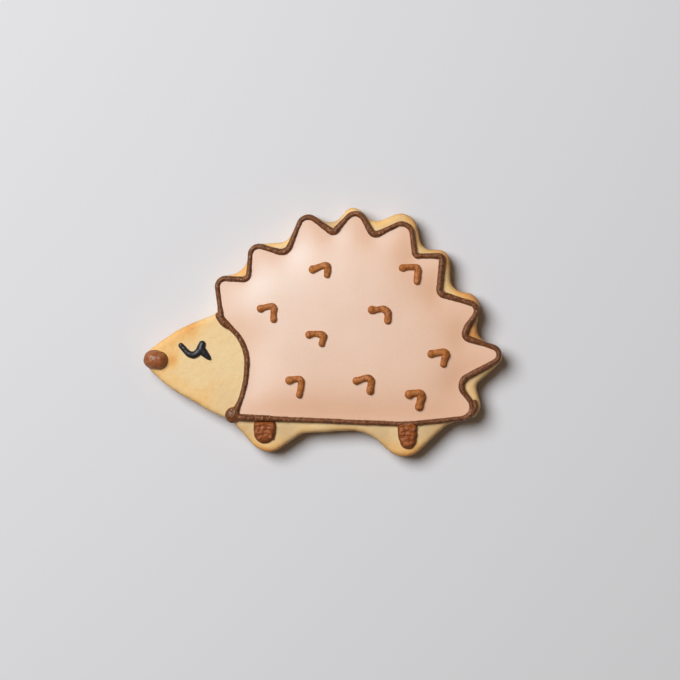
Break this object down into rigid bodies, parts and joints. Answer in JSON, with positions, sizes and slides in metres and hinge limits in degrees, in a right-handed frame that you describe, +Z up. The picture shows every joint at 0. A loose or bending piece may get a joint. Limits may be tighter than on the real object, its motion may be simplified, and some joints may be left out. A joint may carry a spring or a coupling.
{
  "type": "iced sugar cookie",
  "caption": "Flat sugar cookie cut as a spiky-backed animal, topped with a flooded icing coat, a piped outline, nose, eye, toe caps and hooked quill marks.",
  "frame": {"origin": "centre of the whole's plan outline, on the plane of the biscuit's flat underside", "axes": "+X from the snout towards the tail, +Y from the legs towards the spiky back, +Z up out of the iced face"},
  "size_m": [0.0896, 0.0624, 0.0092],
  "materials": {
    "baked_dough": "matte baked dough, fine crumb, golden towards the rim",
    "flood_icing": "satin peach icing, smooth and slightly pillowed",
    "outline_icing": "chocolate brown piped icing, fine grain, soft satin",
    "nose_icing": "milk chocolate brown icing, satin",
    "eye_icing": "black icing, soft gloss",
    "toe_icing": "reddish brown icing, crinkled, satin",
    "quill_icing": "caramel brown piped icing, satin"
  },
  "bodies": {
    "root": {"biscuit": "baked_dough", "icing_flood": "flood_icing", "icing_outline": "outline_icing", "nose": "nose_icing", "eye": "eye_icing", "foot_front": "toe_icing", "foot_hind": "toe_icing", "quill_1": "quill_icing", "quill_2": "quill_icing", "quill_3": "quill_icing", "quill_4": "quill_icing", "quill_5": "quill_icing", "quill_6": "quill_icing", "quill_7": "quill_icing", "quill_8": "quill_icing", "quill_9": "quill_icing"}
  },
  "joints": []
}
